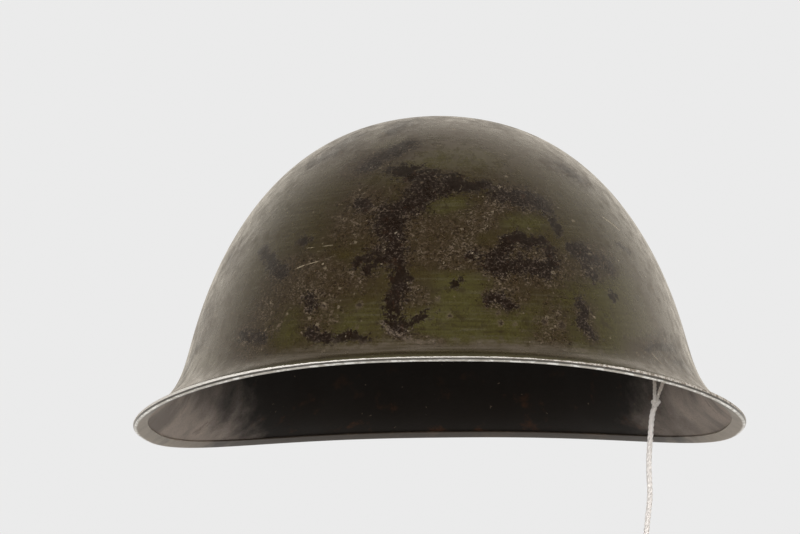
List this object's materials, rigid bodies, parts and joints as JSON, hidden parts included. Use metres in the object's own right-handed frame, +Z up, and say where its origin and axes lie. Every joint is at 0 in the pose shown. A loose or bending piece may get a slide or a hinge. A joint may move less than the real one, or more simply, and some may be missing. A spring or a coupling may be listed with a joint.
{
  "type": "steel helmet",
  "caption": "Pressed steel helmet with a flared, steel-edged brim, a removable liner, hinged chinstrap loops and a hanging tag string.",
  "frame": {"origin": "centre of the headband at its lower edge, where the head carries the helmet", "axes": "the helmet faces -Y, +Y runs to the back along its length, +X is the wearer's left, +Z is up through the crown"},
  "size_m": [0.271, 0.2932, 0.2053],
  "materials": {
    "olive_paint": "semi-gloss paint, worn and flaked to dark brown",
    "rim_steel": "worn folded strip with paint left in patches",
    "lug_steel": "worn painted steel plate",
    "wire_steel": "dull drawn wire and turned parts",
    "fibre_board": "pressed fibre board",
    "sweat_leather": "dark sweat leather",
    "strap_webbing": "cotton webbing",
    "rivet_brass": "dull tubular rivets",
    "pad_felt": "pressed felt",
    "buffer_rubber": "black rubber",
    "cotton_string": "off-white twisted cotton"
  },
  "bodies": {
    "liner": {"headband": "fibre_board", "sweatband": "sweat_leather", "crown_strap_long": "strap_webbing", "crown_strap_cross": "strap_webbing", "strap_rivets": "rivet_brass", "crown_plate": "lug_steel", "clamp_washer": "wire_steel", "crown_screw": "wire_steel", "crown_pad": "pad_felt", "buffer_front_left": "buffer_rubber", "buffer_temple_left": "buffer_rubber", "buffer_back_left": "buffer_rubber", "buffer_nape_left": "buffer_rubber", "buffer_front_right": "buffer_rubber", "buffer_temple_right": "buffer_rubber", "buffer_back_right": "buffer_rubber", "buffer_nape_right": "buffer_rubber", "buffer_rivets": "rivet_brass"},
    "shell": {"shell": "olive_paint", "rim_band": "rim_steel", "crown_stud": "olive_paint", "lug_left": "lug_steel", "lug_right": "lug_steel", "lug_rivet_left": "olive_paint", "lug_rivet_right": "olive_paint"},
    "chin_loop_left": {"loop_left": "wire_steel"},
    "chin_loop_right": {"loop_right": "wire_steel"},
    "tag": {"tag_string_loop": "cotton_string", "tag_knot": "cotton_string", "tag_string": "cotton_string", "tag_end_knot": "cotton_string"}
  },
  "joints": [
    {"name": "shell_lift", "type": "slide", "parent": "liner", "child": "shell", "axis": [0, 0, 1], "range_m": [0, 0.17]},
    {"name": "loop_left_swing", "type": "hinge", "parent": "shell", "child": "chin_loop_left", "pos_m": [0.09784, 0, 0.004], "axis": [0, 1, 0], "range_deg": [-22, 60]},
    {"name": "loop_right_swing", "type": "hinge", "parent": "shell", "child": "chin_loop_right", "pos_m": [-0.09784, 0, 0.004], "axis": [0, -1, 0], "range_deg": [-22, 60]},
    {"name": "tag_swing", "type": "hinge", "parent": "chin_loop_left", "child": "tag", "pos_m": [0.09784, 0, -0.018], "axis": [0, 1, 0], "range_deg": [-60, 22]}
  ],
  "couplings": [
    {"joint": "tag_swing", "follows": "loop_left_swing", "ratio": -1}
  ]
}
